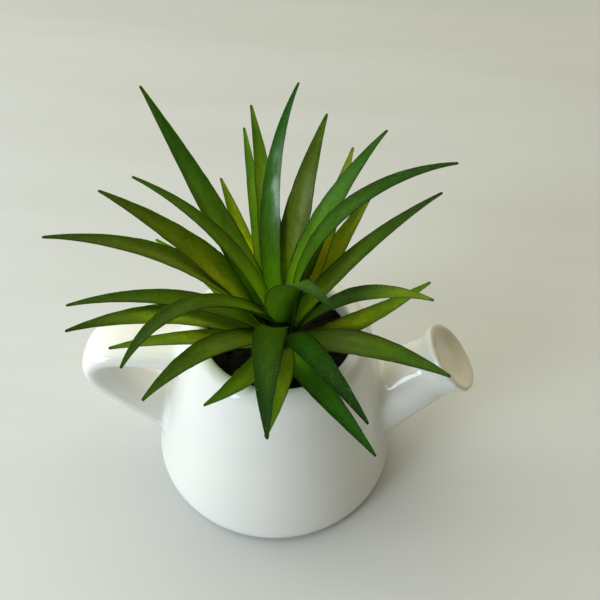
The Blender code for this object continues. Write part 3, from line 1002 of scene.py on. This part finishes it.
@dataclass
class PottingSoil:
    """The potting mix under the leaves, with crumbs and fibres lying on it.

    Each lump has its fineness and its share of the roughness. Crumbs and fibres lie where the share
    of the neck's area that is nearer the middle falls in their span. Crumb sizes and fibre lengths
    are in millimetres, the crumbs' tilt is in radians and the fibres' is in degrees.
    """

    planter: Planter
    clearance: float = 0.3 * MM
    edge_height: float = 54.5 * MM
    crown: float = 1.2 * MM
    socket_radius: float = 6.8 * MM
    foot_depth: float = 42 * MM
    foot_radius: float = 5 * MM
    facets: int = 120
    top_rings: int = 26
    top_band: float = 0.2 * MM
    roughness_height: float = 0.45 * MM
    lumps: tuple[Span, ...] = ((190, 0.7), (620, 0.4))
    crumbs: int = 420
    crumb_span: Span = (0.10, 0.90)
    crumb_margin: float = 0.4 * MM
    crumb_size: Span = (0.28, 0.85)
    crumb_squash: tuple[Span, ...] = ((0.7, 1.3), (0.6, 1.1), (0.5, 0.9))
    crumb_tilt: float = 0.6
    crumb_rise: float = 0.25
    crumb_raggedness: float = 0.16
    fibres: int = 46
    fibre_span: Span = (0.14, 0.80)
    fibre_margin: float = 1 * MM
    fibre_length: Span = (1.5, 4.2)
    fibre_radii: Span = (0.16 * MM, 0.07 * MM)
    fibre_tilt: Span = (78, 96)
    fibre_lift: float = 0.45 * MM
    fibre_sides: int = 6
    seed: int = 11

    def top_height(self, radius: float) -> float:
        """Height of the undisturbed surface at a radius."""
        reach = self.planter.mouth_radius - self.clearance
        share = min(max((radius - self.socket_radius) / (reach - self.socket_radius), 0.0), 1.0)
        return self.edge_height + self.crown * (1 - smoothstep(share))

    def relief(self, place: Vector) -> float:
        """Height of the lumps, coarse and fine, at a place on the surface."""
        return self.roughness_height * sum(share * noise.noise(place * scale) for scale, share in self.lumps)

    def spot(self, draw: random.Random, span: Span, margin: float) -> tuple[Vector, float]:
        """A random place on the surface.

        Args:
            draw: Where the random numbers come from.
            span: Least and greatest share of the area that lies within it.
            margin: How far it keeps from the neck.

        Returns:
            The place at height 0, and the height of the surface there.
        """
        radius = math.sqrt(draw.uniform(*span)) * (self.planter.mouth_radius - margin)
        turn = draw.uniform(0, math.tau)
        place = Vector((radius * math.cos(turn), radius * math.sin(turn), 0))
        return place, self.top_height(radius) + self.relief(place)

    def build_plug(self, material: Material) -> Object:
        """The plug of mix, lumpy on top.

        Args:
            material: Its finish.

        Returns:
            The plug.
        """
        reach = self.planter.mouth_radius - self.clearance
        profile = [(0.0, self.foot_depth), (self.foot_radius, self.foot_depth)]
        profile.append((self.socket_radius, self.edge_height))
        for ring in range(self.top_rings + 1):
            radius = self.socket_radius + (reach - self.socket_radius) * ring / self.top_rings
            profile.append((radius, self.top_height(radius)))
        profile += self.planter.cavity_line(-self.clearance)[::-1]
        profile.append((0.0, self.planter.floor + self.clearance))
        bm = turned(profile, self.facets)
        for vert in bm.verts:
            on_top = vert.co.z > self.edge_height - self.top_band
            if on_top and vert.co.xy.length > self.socket_radius:
                vert.co.z += self.relief(vert.co)
        return settle(new_object("potting_mix", bm), material, "soil", "soil")

    def build_crumbs(self, material: Material) -> Object:
        """Loose crumbs of peat on the surface.

        Args:
            material: Their finish.

        Returns:
            The crumbs, as one piece.
        """
        draw = random.Random(self.seed)
        bm = bmesh.new()
        for _ in range(self.crumbs):
            place, ground = self.spot(draw, self.crumb_span, self.crumb_margin)
            size = draw.uniform(*self.crumb_size) * MM
            place.z = ground + size * self.crumb_rise
            crumb = bmesh.ops.create_icosphere(bm, subdivisions=1, radius=size)["verts"]
            squash = Matrix.Diagonal((*(draw.uniform(*span) for span in self.crumb_squash), 1))
            spin = Matrix.Rotation(draw.uniform(0, math.tau), 4, "Z")
            tilt = Matrix.Rotation(draw.uniform(-self.crumb_tilt, self.crumb_tilt), 4, "X")
            bmesh.ops.transform(bm, matrix=Matrix.Translation(place) @ (spin @ tilt) @ squash, verts=crumb)
            for vert in crumb:
                vert.co += Vector([draw.uniform(-1, 1) for _ in range(3)]) * size * self.crumb_raggedness
        return settle(new_object("peat_crumbs", bm), material, "soil")

    def build_fibres(self, material: Material) -> Object:
        """Short plant fibres lying among the crumbs.

        Args:
            material: Their finish.

        Returns:
            The fibres, as one piece.
        """
        draw = random.Random(self.seed + 1)
        bm = bmesh.new()
        thick, thin = self.fibre_radii
        for _ in range(self.fibres):
            place, ground = self.spot(draw, self.fibre_span, self.fibre_margin)
            place.z = ground + self.fibre_lift
            length = draw.uniform(*self.fibre_length) * MM
            fibre = bmesh.ops.create_cone(
                bm, cap_ends=True, segments=self.fibre_sides, radius1=thick, radius2=thin, depth=length
            )["verts"]
            spin = Matrix.Rotation(draw.uniform(0, math.tau), 4, "Z")
            lay = Matrix.Rotation(math.radians(draw.uniform(*self.fibre_tilt)), 4, "Y")
            bmesh.ops.transform(bm, matrix=Matrix.Translation(place) @ (spin @ lay), verts=fibre)
        return settle(new_object("peat_fibres", bm), material, "soil")


@dataclass
class Stump:
    """The short stem that the leaves leave from, ringed with worn leaf scars."""

    top: float = 70 * MM
    top_radius: float = 2.7 * MM
    top_rounding: float = 1.5 * MM
    flare: float = 0.28
    widest_at: float = 56.5 * MM
    neck: float = 54.5 * MM
    foot: float = 42.3 * MM
    foot_radius: float = 4.8 * MM
    facets: int = 48
    rings: int = 34
    ridge_height: float = 0.14 * MM
    ridge_pitch: float = 1.4 * MM
    ridge_turns: int = 3
    ridge_wear: float = 0.2

    def radius(self, height: float) -> float:
        """Radius of the stem above its widest place."""
        return self.top_radius + (self.top - height) * self.flare

    def build(self, material: Material) -> Object:
        """Turn the stump, raise its scars and dress it.

        Args:
            material: Its finish.

        Returns:
            The stump.
        """
        crown = self.top - self.top_rounding
        profile = [(0.0, self.top)]
        profile.append((self.radius(self.top) - self.top_rounding / 2, self.top - self.top_rounding / 5))
        for ring in range(self.rings + 1):
            height = crown + (self.widest_at - crown) * ring / self.rings
            profile.append((self.radius(height), height))
        profile += [(self.radius(self.widest_at), self.neck), (self.foot_radius, self.foot), (0.0, self.foot)]
        bm = turned(profile, self.facets)
        for vert in bm.verts:
            if self.widest_at <= vert.co.z <= crown:
                turn = math.atan2(vert.co.y, vert.co.x)
                ridge = math.sin(vert.co.z / self.ridge_pitch * math.tau + self.ridge_turns * turn)
                vert.co.xy *= 1 + self.ridge_height * min(ridge, self.ridge_wear) / vert.co.xy.length
        return settle(new_object("stump", bm), material, "stem", "stem")


# ---------------------------------------------------------------- rosette


@dataclass(frozen=True)
class Leaf:
    """How one leaf grows, how it was tinted and how much light and shade is painted on it.

    Height (mm) is where it leaves the stump and turn the side it leaves on. It sets out rise
    degrees above level and comes down by droop over its length, early where bend is under 1 and
    late where it is over 1. Sweep turns it sideways on the way and roll tips its face. Length and
    width are in millimetres.

    Yellow and bronze are the amounts of those sprays. Shade is the light painted on its base and
    tip_shade on its tip, which is painted shade under 0. Gloss polishes its middle, and young_tip
    lightens and yellows its outer third.
    """

    height: float
    turn: float
    rise: float
    droop: float
    bend: float
    sweep: float
    length: float
    width: float
    roll: float
    tone: LeafTone
    yellow: float = 0.0
    bronze: float = 0.0
    shade: float = 0.0
    tip_shade: float = 0.0
    gloss: float = 0.0
    young_tip: float = 0.0

    def heading(self, share: float) -> float:
        """Side the leaf points to at a share of its length, in degrees."""
        return self.turn + self.sweep * share

    def direction(self, share: float) -> Vector:
        """Unit vector along the leaf at a share of its length."""
        share = max(share, 0.0)
        return heading_vector(self.heading(share), self.rise - self.droop * share ** self.bend)


DEEP, MID, PALE, OLIVE = LeafTone.DEEP, LeafTone.MID, LeafTone.PALE, LeafTone.OLIVE
# shade and tip_shade are painted light above 0 and painted shade below 0
LEAVES = (
    Leaf(57.0, -146, 38, 4, 1.0, 6, 44, 7.5, 0, PALE, 0.35, 0.00, 0.8, 0.8),
    Leaf(57.2, -107.5, 20.5, -2, 1.0, -19, 37.5, 7.3, 0, MID, 0.30, 0.00, 1.2, 1.6),
    Leaf(57.0, -65, 26, 29, 1.0, 12, 49.5, 7.8, 0, MID, 0.00, 0.00, 0.7),
    Leaf(57.0, -19.5, 42, -14, 1.0, 4, 53, 7.3, 25, PALE, 0.45, 0.00, -0.1, 0.2),
    Leaf(59.0, 40, 62.5, 7, 1.0, -8, 49.5, 9.2, 0, OLIVE, 0.65, 0.10, 2.3, 1.4),
    Leaf(58.0, 123, 57, 9, 1.0, 4, 47, 7.3, 0, PALE, 1.25, 0.00, 0.7, 0.4),
    Leaf(57.0, 174, 63, 20, 1.0, 10, 46.5, 7.8, 0, PALE, 0.60, 0.00, 2.4, 2.4),
    Leaf(59.0, -135.5, 44, 14, 1.0, 4, 61.5, 7.7, 0, PALE, 0.45, 0.00, 1.5, 0.3),
    Leaf(59.0, -81.5, 42, 45, 1.0, -21, 45.5, 7.3, 0, PALE, 0.35, 0.00, 0.5, 0.3),
    Leaf(59.5, -45, 49, 31.5, 1.0, 1, 64, 12.2, 0, MID, 0.20, 0.00, -0.2),
    Leaf(60.4, -153.5, 50, 41.5, 1.0, 10, 64, 10.4, 0, MID, 0.35, 0.05, 3.9, -0.6),
    Leaf(62.0, -124, 43, 37.5, 1.6, 9, 61.5, 9.2, 0, MID, 0.20, 0.10, 0.1, 0.2),
    Leaf(62.5, -72, 62.5, 62, 0.7, 13, 59, 8.2, 0, DEEP, 0.00, 0.10, 0.0, -0.4),
    Leaf(61.5, -28, 67, 58, 1.5, -1, 56.5, 10.7, 0, MID, 0.05, 0.00, -0.35, -0.8, 0.0, 1.3),
    Leaf(63.5, 18, 60, 21.5, 1.0, -10, 60, 8.0, 0, DEEP, 0.20, 0.00, 1.2, -0.4),
    Leaf(62.0, 51, 58, -15, 1.0, -1, 56.5, 8.2, 0, OLIVE, 0.95, 0.00, 3.2, 0.2),
    Leaf(63.7, 103.5, 69, 22, 1.0, 8, 62.5, 7.6, 0, MID, 0.40, 0.00, 1.2, 1.0, 0.2),
    Leaf(60.0, 112.5, 64.5, 3, 1.0, 1, 59, 6.2, 0, DEEP, 0.30, 0.00, 3.5, 3.5),
    Leaf(63.0, 143, 61, 16, 1.0, 0, 61, 7.5, 0, MID, 0.10, 0.00, 0.8, 0.8),
    Leaf(62.2, -160.5, 53, 47.5, 1.0, 9, 62.5, 8.1, 0, MID, 0.25, 0.00, 0.5, -0.1),
    Leaf(64.0, -171.5, 66, 62, 1.0, 4, 72.5, 9.7, 0, OLIVE, 0.10, 0.35, 2.7, -0.6),
    Leaf(65.8, -178, 62.5, 31, 1.0, -1, 63.5, 10.2, -12, OLIVE, 0.35, 0.20, 2.6, -0.1),
    Leaf(68.2, -146.5, 51, 51.5, 1.4, 45, 68, 7.5, 0, DEEP, 0.15, 0.20, -0.1, 0.1),
    Leaf(65.0, -98, 74, 90, 0.6, 16, 54, 9.4, 0, DEEP, 0.10, 0.00, -0.1, -0.2),
    Leaf(69.0, -88, 68, 60, 2.1, 29, 63, 9.6, 0, MID, 0.10, 0.00, 0.8, -0.2),
    Leaf(67.5, 0.5, 90.5, 79, 1.3, 0, 75.5, 10.2, 0, MID, 0.05, 0.00, -0.1, -0.4),
    Leaf(67.0, 44, 80, 36, 1.0, -15.5, 62.5, 9.4, 0, MID, 0.08, 0.00, 0.8, 0.0, 0.1),
    Leaf(65.4, 79, 76, 33, 1.0, -14, 60.5, 9.2, 0, OLIVE, 0.15, 0.35, 0.5, 0.1, 0.12),
    Leaf(69.0, 114.5, 70, 28, 1.0, -55, 66, 6.2, -9, DEEP, 0.05, 0.00, 1.1, 0.1, 1.0),
    Leaf(67.5, 154.5, 61, 4, 1.0, 0, 74, 10.2, 0, DEEP, 0.15, 0.00, 1.3, 1.4, 0.25),
    Leaf(69.0, 171, 74, 46, 1.0, 8, 58.5, 7.4, 0, MID, 0.15, 0.20, 0.7, 0.6),
)


@dataclass(frozen=True)
class EdgeRipple:
    """One layer of the unevenness of a blade's edges.

    Pitch is how many waves a millimetre of length has, and height how strongly the layer counts.
    The gaps and the shift set how far apart the two edges, the leaves and the layers are drawn from.
    """

    pitch: float
    edge_gap: float
    leaf_gap: float
    shift: float
    height: float


@dataclass
class Rosette:
    """The rosette of long pointed leaves, each a channelled blade with thin uneven edges.

    Where a spray grows or fades is given as shares of the length: a start and an extent.
    """

    stump: Stump
    leaves: tuple[Leaf, ...] = LEAVES
    clearance: float = 0.3 * MM
    root: float = 1.2 * MM
    half_ring: int = 12
    even_stations: int = 60
    crowding: float = 1.15
    tip_stations: tuple[float, ...] = (0.55, 0.2, 0.0)
    spine_parts: int = 104
    base_share: float = 0.84
    widest_at: float = 0.34
    taper: float = 1.45
    tip_width: float = 0.7 * MM
    seat_depth: float = 0.62 * MM
    base_cup: float = 1.15 * MM
    cup: float = 0.5 * MM
    tip_cup: float = 0.2 * MM
    cup_curve: float = 1.7
    base_thickness: float = 0.8 * MM
    thickness: float = 1.1 * MM
    tip_thickness: float = 0.34 * MM
    thinning: float = 1.5
    bulge: float = 0.13
    edge_thinning: float = 0.9
    edge_curve: float = 2.6
    rolled_by: float = 0.4
    edge_ripple: float = 0.028
    ripple_curve: int = 3
    ripples: tuple[EdgeRipple, ...] = (
        EdgeRipple(0.32, 7.3, 3.7, 5, 1.6), EdgeRipple(1.3, 5.1, 1.9, -5, 0.8),
    )
    blunt_tip: float = 0.06
    leaf_shift: float = 90.0
    face_shift: float = 6.0
    yellow_fades: Span = (0.15, 0.75)
    yellow_loss: float = 0.75
    bronze_grows: Span = (0.12, 0.45)
    bronze_fades: Span = (0.7, 0.3)
    bronze_loss: float = 0.3
    young_grows: Span = (0.55, 0.3)
    young_light: float = 0.95
    young_yellow: float = 0.12

    def half_width(self, leaf: Leaf, share: float) -> float:
        """Half the width at a share of the length: full near the base, then a long taper.

        Args:
            leaf: The leaf.
            share: Share of the length.

        Returns:
            The half width.
        """
        share = max(share, 0.0)
        swelling = self.base_share + (1 - self.base_share) * smoothstep(share / self.widest_at)
        past = max(share - self.widest_at, 0) / (1 - self.widest_at)
        return (leaf.width * MM * swelling * (1 - past ** self.taper) + self.tip_width * past) / 2

    def along_leaf(self, share: float, base: float, middle: float, tip: float) -> float:
        """A measure that eases from the base to the widest place and then fades to the tip.

        Args:
            share: Share of the length.
            base: The measure at the base.
            middle: The measure where the leaf is widest.
            tip: The measure at the tip.

        Returns:
            The measure at that share.
        """
        share = max(share, 0.0)
        fade = (tip - middle) * share ** self.thinning
        return base + (middle - base) * smoothstep(share / self.widest_at) + fade

    def spine(self, leaf: Leaf) -> list[Vector]:
        """Points along a leaf's spine, from its seat on the stump to its tip.

        Args:
            leaf: The leaf.

        Returns:
            One point for each part of the spine.
        """
        height = leaf.height * MM
        lean_back = self.seat_depth * math.sin(math.radians(leaf.rise))
        seat = self.stump.radius(height) + self.clearance + lean_back
        points = [heading_vector(leaf.turn, 0) * seat + Vector((0, 0, height))]
        step = leaf.length * MM / self.spine_parts
        for part in range(1, self.spine_parts + 1):
            ahead = leaf.direction(part / self.spine_parts)
            behind = leaf.direction((part - 1) / self.spine_parts)
            points.append(points[-1] + (ahead + behind) * (step / 2))
        return points

    def frame_at(self, leaf: Leaf, spine: Sequence[Vector], share: float) -> Matrix:
        """Frame of a section, with X across, Y up through it and Z along the leaf.

        Args:
            leaf: The leaf.
            spine: Its spine.
            share: Share of the length, under 0 where the root goes into the stump.

        Returns:
            The frame.
        """
        along = leaf.direction(share)
        where = max(share, 0.0) * self.spine_parts
        part = min(int(where), self.spine_parts - 1)
        place = spine[part].lerp(spine[part + 1], where - part) + along * min(share, 0.0) * leaf.length * MM
        level = heading_vector(leaf.heading(max(share, 0.0)) + 90, 0)
        roll = math.radians(leaf.roll) * min(1.0, max(share, 0.0) / self.rolled_by)
        across = Matrix.Rotation(roll, 3, along) @ level
        turn = Matrix((across, along.cross(across), along)).transposed().to_4x4()
        return Matrix.Translation(place) @ turn

    def section(self, number: int) -> tuple[float, float]:
        """A point of the section.

        Args:
            number: Its number in the ring, which goes over the upper face and back under it.

        Returns:
            Its place across from -1 to 1, and 1 on the upper face or 0 on the lower.
        """
        if number <= self.half_ring:
            return math.cos(math.pi * number / self.half_ring), 1.0
        return -math.cos(math.pi * (number - self.half_ring) / self.half_ring), 0.0

    def lift(self, share: float, across: float, above: float) -> float:
        """How far a point of the section lies over the spine: a channel, thin at its edges.

        Args:
            share: Share of the length.
            across: Place across, from -1 to 1.
            above: 1 on the upper face, 0 on the lower.

        Returns:
            The height.
        """
        cup = self.along_leaf(share, self.base_cup, self.cup, self.tip_cup)
        thick = self.along_leaf(share, self.base_thickness, self.thickness, self.tip_thickness)
        upper = self.bulge * thick + cup * abs(across) ** self.cup_curve
        return upper - (1 - above) * thick * (1 - self.edge_thinning * abs(across) ** self.edge_curve)

    def ripple(self, number: int, leaf: Leaf, share: float, side: float) -> float:
        """Unevenness of an edge, broad and fine, and different for each edge of each leaf.

        Args:
            number: The leaf's number.
            leaf: The leaf.
            share: Share of the length.
            side: 1 or -1 for the edge.

        Returns:
            How far the edge stands out, as a share of the half width.
        """
        total = 0.0
        for layer in self.ripples:
            down = share * leaf.length * layer.pitch
            place = Vector((down, side * layer.edge_gap, number * layer.leaf_gap + layer.shift))
            total += noise.noise(place) * layer.height
        return self.edge_ripple * total

    def tint_and_painted_light(self, leaf: Leaf, share: float) -> Vector:
        """How far the yellow and bronze sprays cover a place on the blade, and the light and shade painted
        there.

        Yellow fades and bronze grows on the way to the tip.

        Args:
            leaf: The leaf.
            share: Share of the length.

        Returns:
            The three amounts.
        """
        share = max(share, 0.0)
        fade = 1 - self.yellow_loss * eased(share, self.yellow_fades)
        bronzed = eased(share, self.bronze_grows) * (1 - self.bronze_loss * eased(share, self.bronze_fades))
        young = leaf.young_tip * eased(share, self.young_grows)
        # painted light and shade, eased from the base to the tip
        shade = leaf.shade + (leaf.tip_shade - leaf.shade) * share + self.young_light * young
        yellow = leaf.yellow * fade + self.young_yellow * young
        return Vector((yellow, leaf.bronze * bronzed, shade))

    def mark(self, bm: Skin, number: int, leaf: Leaf, shares: Sequence[float]) -> None:
        """Write on each point of a blade where it is, how it was finished and the light and shade painted on
        it.

        The shifts keep the patterns of two leaves, and of a leaf's two faces, apart.

        Args:
            bm: The blade's skin.
            number: The leaf's number.
            leaf: The leaf.
            shares: Share of the length at each station.
        """
        layers = bm.verts.layers
        in_ring, at_station = layers.int["ring"], layers.int["station"]
        skin, blade, tint_and_painted_light = [layers.float_vector.new(name) for name in ("skin", "blade", "tint_and_painted_light")]
        gloss = layers.float.new("gloss")
        for vert in bm.verts:
            share = shares[vert[at_station]]
            across, above = self.section(vert[in_ring])
            flat = across * self.half_width(leaf, share) / MM
            down = share * leaf.length + self.leaf_shift * number
            vert[skin] = Vector((flat, down, self.face_shift * above))
            vert[blade] = Vector((max(share, 0.0), abs(across), above))
            vert[tint_and_painted_light] = self.tint_and_painted_light(leaf, share)
            vert[gloss] = leaf.gloss

    def build_leaf(self, number: int, leaf: Leaf, material: Material) -> Object:
        """Build and dress one leaf.

        Args:
            number: The leaf's number, from the lowest ring up.
            leaf: The leaf.
            material: Its finish.

        Returns:
            The leaf.
        """
        spine = self.spine(leaf)
        tip_round = self.tip_width * 0.5 / (leaf.length * MM)
        shares = [-self.root / (leaf.length * MM)]
        shares += [1 - (1 - step / self.even_stations) ** self.crowding for step in range(self.even_stations)]
        shares += [1 - tip_round * rest for rest in self.tip_stations]
        shares = sorted(shares)
        frames = [self.frame_at(leaf, spine, share) for share in shares]

        def place(station: int, ring_number: int) -> Vector:
            """Point of a section on the spine.

            Args:
                station: The section's number along the spine.
                ring_number: The point's number in the section.

            Returns:
                The point.
            """
            share = shares[station]
            across, above = self.section(ring_number)
            left_over = max(1 - share, 0.0) / tip_round
            rounding = math.sqrt(max(1 - (1 - min(left_over, 1.0)) ** 2, self.blunt_tip))
            edge = self.ripple(number, leaf, share, math.copysign(1, across))
            wide = across * (1 + edge * abs(across) ** self.ripple_curve)
            wide *= self.half_width(leaf, share) * rounding
            return frames[station] @ Vector((wide, self.lift(share, across, above) * rounding, 0))

        bm = swept(2 * self.half_ring, len(shares), place)
        self.mark(bm, number, leaf, shares)
        blade = new_object(f"leaf_blade_{number:02d}", bm)
        return settle(blade, material, leaf.tone.value, f"leaf_{number:02d}")

    def build(self, materials: dict[LeafTone, Material]) -> None:
        """Build every leaf with the finish of its tone."""
        for number, leaf in enumerate(self.leaves, start=1):
            self.build_leaf(number, leaf, materials[leaf.tone])


# ---------------------------------------------------------------- studio


@dataclass(frozen=True)
class Panel:
    """A soft light that faces the planter.

    Turn is the side it stands on, in degrees from +X, and climb its height above level. Size is
    its width and height, in metres like its distance, and power is in watts.
    """

    name: str
    turn: float
    climb: float
    distance: float
    size: Span
    power: float
    colour: Colour

    def build(self, target: Vector) -> None:
        """Hang the light.

        Args:
            target: The point that it faces.
        """
        data = bpy.data.lights.new(self.name, "AREA")
        data.shape = "RECTANGLE"
        data.size, data.size_y = self.size
        data.energy = self.power
        data.color = self.colour
        lamp = bpy.data.objects.new(self.name, data)
        away = heading_vector(self.turn, self.climb)
        lamp.location = target + away * self.distance
        lamp.rotation_mode = "QUATERNION"
        lamp.rotation_quaternion = (-away).to_track_quat("-Z", "Y")
        bpy.context.scene.collection.objects.link(lamp)
        LOG.info("%s hung, %.1f W", self.name, self.power)


@dataclass
class Studio:
    """Pale floor, soft window-like light from the front left, and the camera."""

    floor_size: float = 6.0
    floor_squares: int = 8
    lens: float = 42.0
    sensor: float = 36.0
    nearest: float = 5 * MM
    camera_distance: float = 143.8 * MM
    camera_height: float = 224.2 * MM
    camera_side: float = 2.0
    camera_aim: float = 2.4
    camera_pitch: float = 46.24
    camera_roll: float = 3.5
    light_target: float = 45 * MM
    panels: tuple[Panel, ...] = (
        Panel("window_light", -138, 22, 0.95, (0.30, 0.50), 4.8, (0.78, 0.90, 1.0)),
        Panel("side_light", 180, 24, 0.62, (0.65, 0.45), 1.75, (0.82, 0.92, 1.0)),
    )
    wall_lean: float = -0.4
    wall_span: Span = (-0.7, 0.7)
    dark_wall: Colour = (0.04, 0.035, 0.01)
    light_wall: Colour = (0.30, 0.29, 0.20)
    ceiling_lean: Triple = (-0.18, 0.32, 0.92)
    ceiling_span: Span = (0.55, 0.86)
    ceiling: Colour = (1.50, 1.47, 1.16)
    backdrop: Colour = (0.56, 0.56, 0.50)

    def build_floor(self, material: Material) -> None:
        """Lay the floor.

        Args:
            material: Its finish.
        """
        bm = bmesh.new()
        squares = self.floor_squares
        bmesh.ops.create_grid(bm, x_segments=squares, y_segments=squares, size=self.floor_size / 2)
        floor = new_object("floor", bm)
        floor.data.materials.append(material)
        LOG.info("floor laid, %.1f m across", self.floor_size)

    def build_camera(self) -> None:
        """Set the camera up and aim it."""
        side = math.radians(self.camera_side)
        yaw = math.radians(self.camera_aim - self.camera_side)
        pitch = math.radians(self.camera_pitch)
        roll = math.radians(self.camera_roll)
        ahead = Vector((math.sin(yaw) * math.cos(pitch), math.cos(yaw) * math.cos(pitch), -math.sin(pitch)))
        level = Vector((math.cos(yaw), -math.sin(yaw), 0))
        upright = level.cross(ahead)
        right = level * math.cos(roll) + upright * math.sin(roll)
        up = upright * math.cos(roll) - level * math.sin(roll)
        camera = bpy.data.objects.new("camera", bpy.data.cameras.new("camera"))
        place = Vector((math.sin(side), -math.cos(side), 0)) * self.camera_distance
        place.z = self.camera_height
        turn = Matrix((right, up, -ahead)).transposed().to_4x4()
        camera.matrix_world = Matrix.Translation(place) @ turn
        camera.data.lens = self.lens
        camera.data.sensor_width = self.sensor
        camera.data.clip_start = self.nearest
        bpy.context.scene.collection.objects.link(camera)
        bpy.context.scene.camera = camera
        LOG.info("camera set, %.0f mm lens", self.lens)

    def build_surroundings(self) -> None:
        """Light the room warmly: brightest overhead and behind, dark low down at the front.

        Behind the floor's edge a plain backdrop is seen instead of the room.
        """
        world = bpy.data.worlds.new("room")
        bpy.context.scene.world = world
        world.use_nodes = True
        bench = NodeBench(world.node_tree)
        side, front, high = bench.split(bench.add("ShaderNodeTexCoord", {}).outputs["Generated"])
        leaning = bench.plus(front, bench.times(side, self.wall_lean))
        walls = bench.mix(bench.ease(leaning, *self.wall_span), self.dark_wall, self.light_wall)
        sideways, back, up = self.ceiling_lean
        tilted = bench.plus(bench.times(high, up), bench.times(front, back))
        tilted = bench.plus(tilted, bench.times(side, sideways))
        colour = bench.mix(bench.ease(tilted, *self.ceiling_span), walls, self.ceiling)
        seen = bench.add("ShaderNodeLightPath", {}).outputs["Is Camera Ray"]
        colour = bench.mix(seen, colour, self.backdrop)
        bench.feed(world.node_tree.nodes["Background"], {"Color": colour, "Strength": 1.0})

    def build_lights(self) -> None:
        """Hang the lights and light the room."""
        for panel in self.panels:
            panel.build(Vector((0, 0, self.light_target)))
        self.build_surroundings()
        bpy.context.scene.view_settings.view_transform = "Standard"


def main() -> None:
    """Build the planter, the soil, the stump, the rosette and the studio, in that order."""
    logging.basicConfig(level=logging.INFO, format="%(name)s: %(message)s")
    effects = SharedEffects()
    planter = Planter()
    planter.build(Glaze().build(effects))
    soil = PottingSoil(planter)
    mix = PottingMix().build(effects)
    soil.build_plug(mix)
    soil.build_crumbs(mix)
    fibre = PottingMix(name="peat_fibre", dark=(0.020, 0.012, 0.006), brown=(0.052, 0.031, 0.015))
    soil.build_fibres(fibre.build(effects))
    stump = Stump()
    stump.build(StumpSkin().build(effects, soil.edge_height, stump.top))
    finishes = {finish.tone: finish.build(effects) for finish in LEAF_FINISHES}
    Rosette(stump).build(finishes)
    studio = Studio()
    studio.build_floor(FloorPaint().build(effects))
    studio.build_camera()
    studio.build_lights()


if __name__ == "__main__":
    main()
